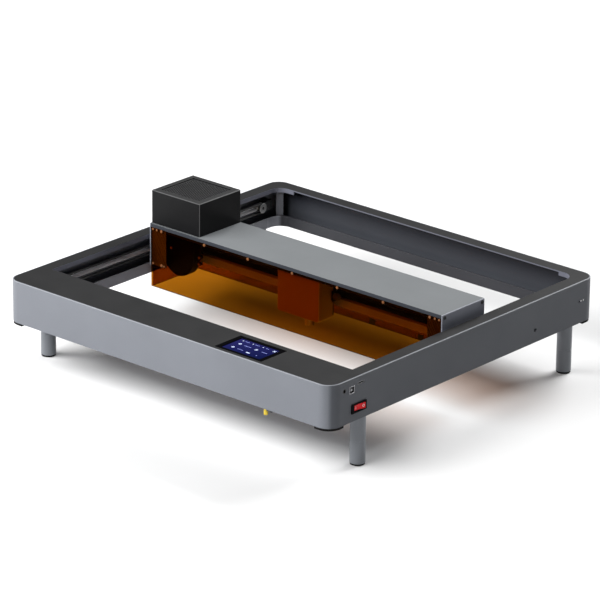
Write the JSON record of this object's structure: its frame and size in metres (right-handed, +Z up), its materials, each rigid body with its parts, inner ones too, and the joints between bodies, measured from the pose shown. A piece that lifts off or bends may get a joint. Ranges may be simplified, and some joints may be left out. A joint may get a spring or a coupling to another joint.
{
  "type": "desktop laser cutter",
  "caption": "Open square frame on four legs with a covered moving gantry, orange acrylic shields, a laser head, a top filter box and a touch screen.",
  "frame": {"origin": "on the surface the feet rest on, under the middle of the frame", "axes": "+X to the right seen from the front, +Y to the back, +Z up"},
  "size_m": [0.6428, 0.611, 0.2158],
  "materials": {
    "band_metal": "silver grey powder coat, satin",
    "leg_metal": "anodised grey, satin",
    "end_metal": "blue-grey powder coat, satin",
    "rail_metal": "dark grey powder coat, satin",
    "panel_metal": "dark grey powder coat, satin",
    "cover_metal": "light grey powder coat, satin",
    "shield_acrylic": "clear orange acrylic",
    "rubber": "matte black",
    "belt_rubber": "ribbed black",
    "rod_steel": "ground steel",
    "bracket_black": "black, satin",
    "motor_black": "black, satin",
    "beam_black": "black anodised",
    "bezel_plastic": "gloss black",
    "screen_glass": "clear",
    "display": "lit blue",
    "circuit_board": "green",
    "switch_plastic": "black",
    "rocker_plastic": "red, translucent",
    "socket_plastic": "black",
    "socket_steel": "plated",
    "brass": "bright",
    "pulley_metal": "turned",
    "screw_metal": "copper-coloured, satin",
    "fan_box_plastic": "fine-grained black",
    "grille_plastic": "fine-grained black",
    "filter_media": "charcoal filter felt",
    "blower_plastic": "black",
    "head_metal": "grey powder coat",
    "heatsink_metal": "black anodised",
    "nozzle_metal": "turned",
    "lens_glass": "clear",
    "pin_steel": "bright",
    "knob_plastic": "knurled"
  },
  "bodies": {
    "frame": {"outer_band": "band_metal", "top_panel": "panel_metal", "front_inner_wall": "panel_metal", "front_floor": "panel_metal", "side_floor_rails": "rail_metal", "rear_floor_rail": "rail_metal", "corner_posts": "rail_metal", "corner_pads": "rubber", "leg_uppers": "leg_metal", "leg_lowers": "leg_metal", "foot_pads": "rubber", "y_rods": "rod_steel", "rod_brackets": "bracket_black", "drive_belts": "belt_rubber", "shaft_bearings": "bracket_black", "y_motor": "motor_black", "screen_bezel": "bezel_plastic", "screen_glass": "screen_glass", "display_module": "display", "controller_board": "circuit_board", "switch_housing": "switch_plastic", "power_jack": "socket_plastic", "data_ports": "socket_steel", "antenna_connector": "brass"},
    "rocker": {"power_rocker": "rocker_plastic"},
    "rear_idler_left": {"y_idler_left": "pulley_metal"},
    "rear_idler_right": {"y_idler_right": "pulley_metal"},
    "sync_drive": {"sync_shaft": "rod_steel", "sync_pulleys": "pulley_metal"},
    "y_motor_rotor": {"y_motor_pulley": "pulley_metal"},
    "gantry": {"gantry_cover": "cover_metal", "gantry_ends": "end_metal", "shield_front": "shield_acrylic", "shield_rear": "shield_acrylic", "shield_sides": "shield_acrylic", "button_screws": "screw_metal", "y_carriages": "bracket_black", "belt_clamps": "bracket_black", "x_beam": "beam_black", "x_rail": "rod_steel", "x_motor_bracket": "bracket_black", "x_motor": "motor_black", "x_belt": "belt_rubber", "fan_box": "fan_box_plastic", "fan_grille": "grille_plastic", "filter_block": "filter_media", "blower_housing": "blower_plastic"},
    "x_motor_rotor": {"x_motor_pulley": "pulley_metal"},
    "x_idler_wheel": {"x_idler": "pulley_metal"},
    "impeller": {"blower_impeller": "blower_plastic"},
    "carriage": {"rail_block": "rod_steel", "carriage_plate": "bracket_black"},
    "head": {"laser_housing": "head_metal", "head_heatsink": "heatsink_metal", "fan_cradle": "blower_plastic", "nozzle": "nozzle_metal", "focus_lens": "lens_glass"},
    "head_fan": {"laser_fan": "blower_plastic"},
    "feeler": {"focus_pin": "pin_steel"},
    "lock_screw": {"focus_knob": "knob_plastic"}
  },
  "joints": [
    {"name": "gantry_slide", "type": "slide", "parent": "frame", "child": "gantry", "axis": [0, 1, 0], "range_m": [-0.2, 0.199]},
    {"name": "carriage_slide", "type": "slide", "parent": "gantry", "child": "carriage", "axis": [1, 0, 0], "range_m": [-0.17, 0.225]},
    {"name": "focus_slide", "type": "slide", "parent": "carriage", "child": "head", "axis": [0, 0, 1], "range_m": [-0.03, 0]},
    {"name": "feeler_fold", "type": "hinge", "parent": "head", "child": "feeler", "pos_m": [0.0185, 0.005, 0.0798], "axis": [0, 1, 0], "range_deg": [-90, 0]},
    {"name": "lock_turn", "type": "hinge", "parent": "carriage", "child": "lock_screw", "pos_m": [0.0502, 0.016, 0.1195], "axis": [1, 0, 0], "range_deg": [0, 180]},
    {"name": "rocker_tilt", "type": "hinge", "parent": "frame", "child": "rocker", "pos_m": [0.3165, -0.2424, 0.0949], "axis": [0, 0, 1], "range_deg": [0, 16]},
    {"name": "sync_turn", "type": "hinge", "parent": "frame", "child": "sync_drive", "pos_m": [0, -0.244, 0.115], "axis": [1, 0, 0], "continuous": true},
    {"name": "y_motor_turn", "type": "hinge", "parent": "frame", "child": "y_motor_rotor", "pos_m": [-0.0262, -0.279, 0.115], "axis": [1, 0, 0], "continuous": true},
    {"name": "idler_left_turn", "type": "hinge", "parent": "frame", "child": "rear_idler_left", "pos_m": [-0.2996, 0.244, 0.115], "axis": [1, 0, 0], "continuous": true},
    {"name": "idler_right_turn", "type": "hinge", "parent": "frame", "child": "rear_idler_right", "pos_m": [0.2996, 0.244, 0.115], "axis": [1, 0, 0], "continuous": true},
    {"name": "x_motor_turn", "type": "hinge", "parent": "gantry", "child": "x_motor_rotor", "pos_m": [-0.266, 0.031, 0.132], "axis": [0, 1, 0], "continuous": true},
    {"name": "x_idler_turn", "type": "hinge", "parent": "gantry", "child": "x_idler_wheel", "pos_m": [0.274, 0.031, 0.132], "axis": [0, 1, 0], "continuous": true},
    {"name": "impeller_spin", "type": "hinge", "parent": "gantry", "child": "impeller", "pos_m": [-0.244, -0.002, 0.1145], "axis": [0, 1, 0], "continuous": true},
    {"name": "head_fan_spin", "type": "hinge", "parent": "head", "child": "head_fan", "pos_m": [0.0055, 0, 0.1485], "axis": [0, 0, 1], "continuous": true}
  ],
  "couplings": [
    {"joint": "sync_turn", "follows": "gantry_slide", "rad_per_m": 157.08},
    {"joint": "y_motor_turn", "follows": "gantry_slide", "rad_per_m": 157.08},
    {"joint": "idler_left_turn", "follows": "gantry_slide", "rad_per_m": 157.08},
    {"joint": "idler_right_turn", "follows": "gantry_slide", "rad_per_m": 157.08},
    {"joint": "x_motor_turn", "follows": "carriage_slide", "rad_per_m": -157.08},
    {"joint": "x_idler_turn", "follows": "carriage_slide", "rad_per_m": -157.08}
  ]
}
